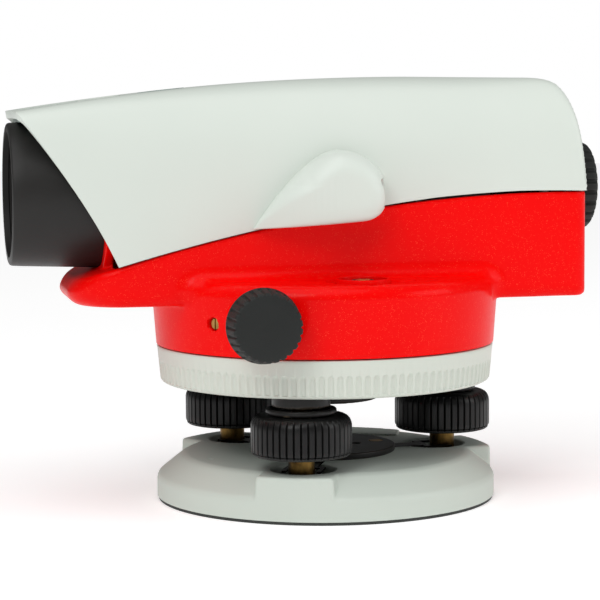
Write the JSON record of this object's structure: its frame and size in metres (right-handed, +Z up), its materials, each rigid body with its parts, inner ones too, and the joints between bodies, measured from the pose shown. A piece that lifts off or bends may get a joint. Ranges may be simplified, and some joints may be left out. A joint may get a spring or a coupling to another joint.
{
  "type": "automatic level",
  "caption": "Self-levelling builder's level: red housing under a pale grey cover, black objective and eyepiece, fluted setting ring, three footscrews and a round base plate.",
  "frame": {"origin": "centre of the base plate's underside, on the axis of the tripod thread", "axes": "+Z up along the vertical axis; the objective looks along -X, the eyepiece is at +X; the viewing housing and circular level are on the -Y side, the focusing knob on the +Y side"},
  "size_m": [0.1852, 0.124, 0.1324],
  "materials": {
    "base_grey": "textured paint",
    "ring_grey": "satin moulded",
    "cover_grey": "satin moulded",
    "housing_red": "gloss, fine speckle",
    "black_plastic": "satin moulded",
    "black_metal": "satin black",
    "knob_black": "matt moulded",
    "dark_rubber": "matt",
    "brass": "machined",
    "steel": "turned",
    "aluminium": "machined",
    "glass": "polished",
    "level_glass": "polished",
    "white_plastic": "satin"
  },
  "bodies": {
    "base": {"base_plate": "base_grey", "base_skirt": "dark_rubber", "thread_insert": "brass", "spring_plate": "brass", "retaining_disc": "black_metal", "disc_screws": "brass"},
    "seat_2": {"foot_seat_2": "steel"},
    "seat_3": {"foot_seat_3": "steel"},
    "hub": {"hub_body": "black_metal", "footscrew_bushes": "brass", "axis_bush": "brass", "ring_spring": "steel"},
    "sleeve_1": {"footscrew_sleeve_1": "black_metal"},
    "sleeve_2": {"footscrew_sleeve_2": "black_metal"},
    "sleeve_3": {"footscrew_sleeve_3": "black_metal"},
    "screw_1": {"footscrew_knob_1": "black_plastic", "footscrew_spindle_1": "brass"},
    "screw_2": {"footscrew_knob_2": "black_plastic", "footscrew_spindle_2": "brass"},
    "screw_3": {"footscrew_knob_3": "black_plastic", "footscrew_spindle_3": "brass"},
    "circle": {"setting_ring": "ring_grey", "degree_scale": "white_plastic"},
    "wheel": {"worm_wheel": "brass", "clutch_spring": "steel"},
    "alidade": {"lower_housing": "housing_red", "top_cover": "cover_grey", "drum_plate": "black_metal", "axis_spindle": "steel", "axis_nut": "steel", "prism_housing": "cover_grey", "level_prism": "glass", "level_housing": "white_plastic", "level_vial": "level_glass", "objective_tube": "black_metal", "objective_lens": "glass", "objective_ring": "black_metal", "telescope_tube": "black_metal", "compensator_frame": "aluminium", "fixed_prisms": "glass", "reticle": "glass", "eyepiece_barrel": "black_metal", "shaft_bushes": "brass", "cover_screws": "steel", "worm_adjusting_screw": "brass", "circle_window": "glass", "sight_pointer": "white_plastic"},
    "focus_slide": {"focus_cell": "aluminium", "focus_lens": "glass"},
    "focus_drive": {"focus_knob": "knob_black", "focus_pinion": "brass"},
    "pendulum": {"pendulum": "aluminium", "pendulum_prism": "glass", "suspension_tapes": "steel"},
    "drive": {"drive_shaft": "steel", "drive_knob_left": "knob_black", "drive_knob_right": "knob_black"},
    "eyepiece_slide": {"eyepiece_cell": "black_metal", "eyepiece_lens": "glass"},
    "eyepiece": {"eyepiece_ring": "knob_black"}
  },
  "joints": [
    {"name": "tilt_1", "type": "hinge", "parent": "base", "child": "seat_2", "pos_m": [0.03997, 0.00512, 0.0096], "axis": [-0.9225, 0.3859, 0], "range_deg": [-2.14, 2.14]},
    {"name": "tilt_2", "type": "hinge", "parent": "seat_2", "child": "seat_3", "pos_m": [-0.01555, -0.03718, 0.0096], "axis": [0.1271, -0.9919, 0], "range_deg": [-2.14, 2.14]},
    {"name": "tilt_3", "type": "hinge", "parent": "seat_3", "child": "hub", "pos_m": [-0.01555, -0.03718, 0.0096], "axis": [0.7955, 0.606, 0], "range_deg": [-2.14, 2.14]},
    {"name": "footscrew_rise_1", "type": "slide", "parent": "hub", "child": "sleeve_1", "axis": [0, 0, -1], "range_m": [-0.00225, 0.00225]},
    {"name": "footscrew_1", "type": "hinge", "parent": "sleeve_1", "child": "screw_1", "pos_m": [-0.01555, -0.03718, 0.0253], "axis": [0, 0, -1], "range_deg": [-1080, 1080]},
    {"name": "footscrew_rise_2", "type": "slide", "parent": "hub", "child": "sleeve_2", "axis": [0, 0, -1], "range_m": [-0.00225, 0.00225]},
    {"name": "footscrew_2", "type": "hinge", "parent": "sleeve_2", "child": "screw_2", "pos_m": [0.03997, 0.00512, 0.0253], "axis": [0, 0, -1], "range_deg": [-1080, 1080]},
    {"name": "footscrew_rise_3", "type": "slide", "parent": "hub", "child": "sleeve_3", "axis": [0, 0, -1], "range_m": [-0.00225, 0.00225]},
    {"name": "footscrew_3", "type": "hinge", "parent": "sleeve_3", "child": "screw_3", "pos_m": [-0.02442, 0.03206, 0.0253], "axis": [0, 0, -1], "range_deg": [-1080, 1080]},
    {"name": "ring_turn", "type": "hinge", "parent": "hub", "child": "circle", "pos_m": [0, 0, 0.0433], "axis": [0, 0, 1], "continuous": true},
    {"name": "coarse_turn", "type": "hinge", "parent": "hub", "child": "wheel", "pos_m": [0, 0, 0.0602], "axis": [0, 0, 1], "continuous": true},
    {"name": "fine_turn", "type": "hinge", "parent": "wheel", "child": "alidade", "pos_m": [0, 0, 0.0602], "axis": [0, 0, 1], "continuous": true},
    {"name": "drive_turn", "type": "hinge", "parent": "alidade", "child": "drive", "pos_m": [-0.03, 0, 0.0602], "axis": [0, 1, 0], "continuous": true},
    {"name": "focus_turn", "type": "hinge", "parent": "alidade", "child": "focus_drive", "pos_m": [0.012, 0.037, 0.0885], "axis": [0, 1, 0], "range_deg": [-360, 360]},
    {"name": "focus_travel", "type": "slide", "parent": "alidade", "child": "focus_slide", "axis": [1, 0, 0], "range_m": [-0.012, 0.012]},
    {"name": "pendulum_swing", "type": "hinge", "parent": "alidade", "child": "pendulum", "pos_m": [0.039, 0, 0.1095], "axis": [0, 1, 0], "range_deg": [-0.5, 0.5]},
    {"name": "eyepiece_travel", "type": "slide", "parent": "alidade", "child": "eyepiece_slide", "axis": [1, 0, 0], "range_m": [-0.00251, 0.00251]},
    {"name": "eyepiece_turn", "type": "hinge", "parent": "eyepiece_slide", "child": "eyepiece", "pos_m": [0.08, 0, 0.0972], "axis": [1, 0, 0], "range_deg": [-150, 150]}
  ],
  "couplings": [
    {"joint": "tilt_1", "follows": "footscrew_rise_1", "rad_per_m": 16.543},
    {"joint": "tilt_2", "follows": "footscrew_rise_2", "rad_per_m": 16.543},
    {"joint": "tilt_3", "follows": "footscrew_rise_3", "rad_per_m": 16.543},
    {"joint": "footscrew_1", "follows": "footscrew_rise_1", "rad_per_m": 8377.6},
    {"joint": "footscrew_2", "follows": "footscrew_rise_2", "rad_per_m": 8377.6},
    {"joint": "footscrew_3", "follows": "footscrew_rise_3", "rad_per_m": 8377.6},
    {"joint": "drive_turn", "follows": "fine_turn", "ratio": -120},
    {"joint": "focus_travel", "follows": "focus_turn", "m_per_rad": 0.0019},
    {"joint": "eyepiece_travel", "follows": "eyepiece_turn", "m_per_rad": 0.00095493}
  ]
}
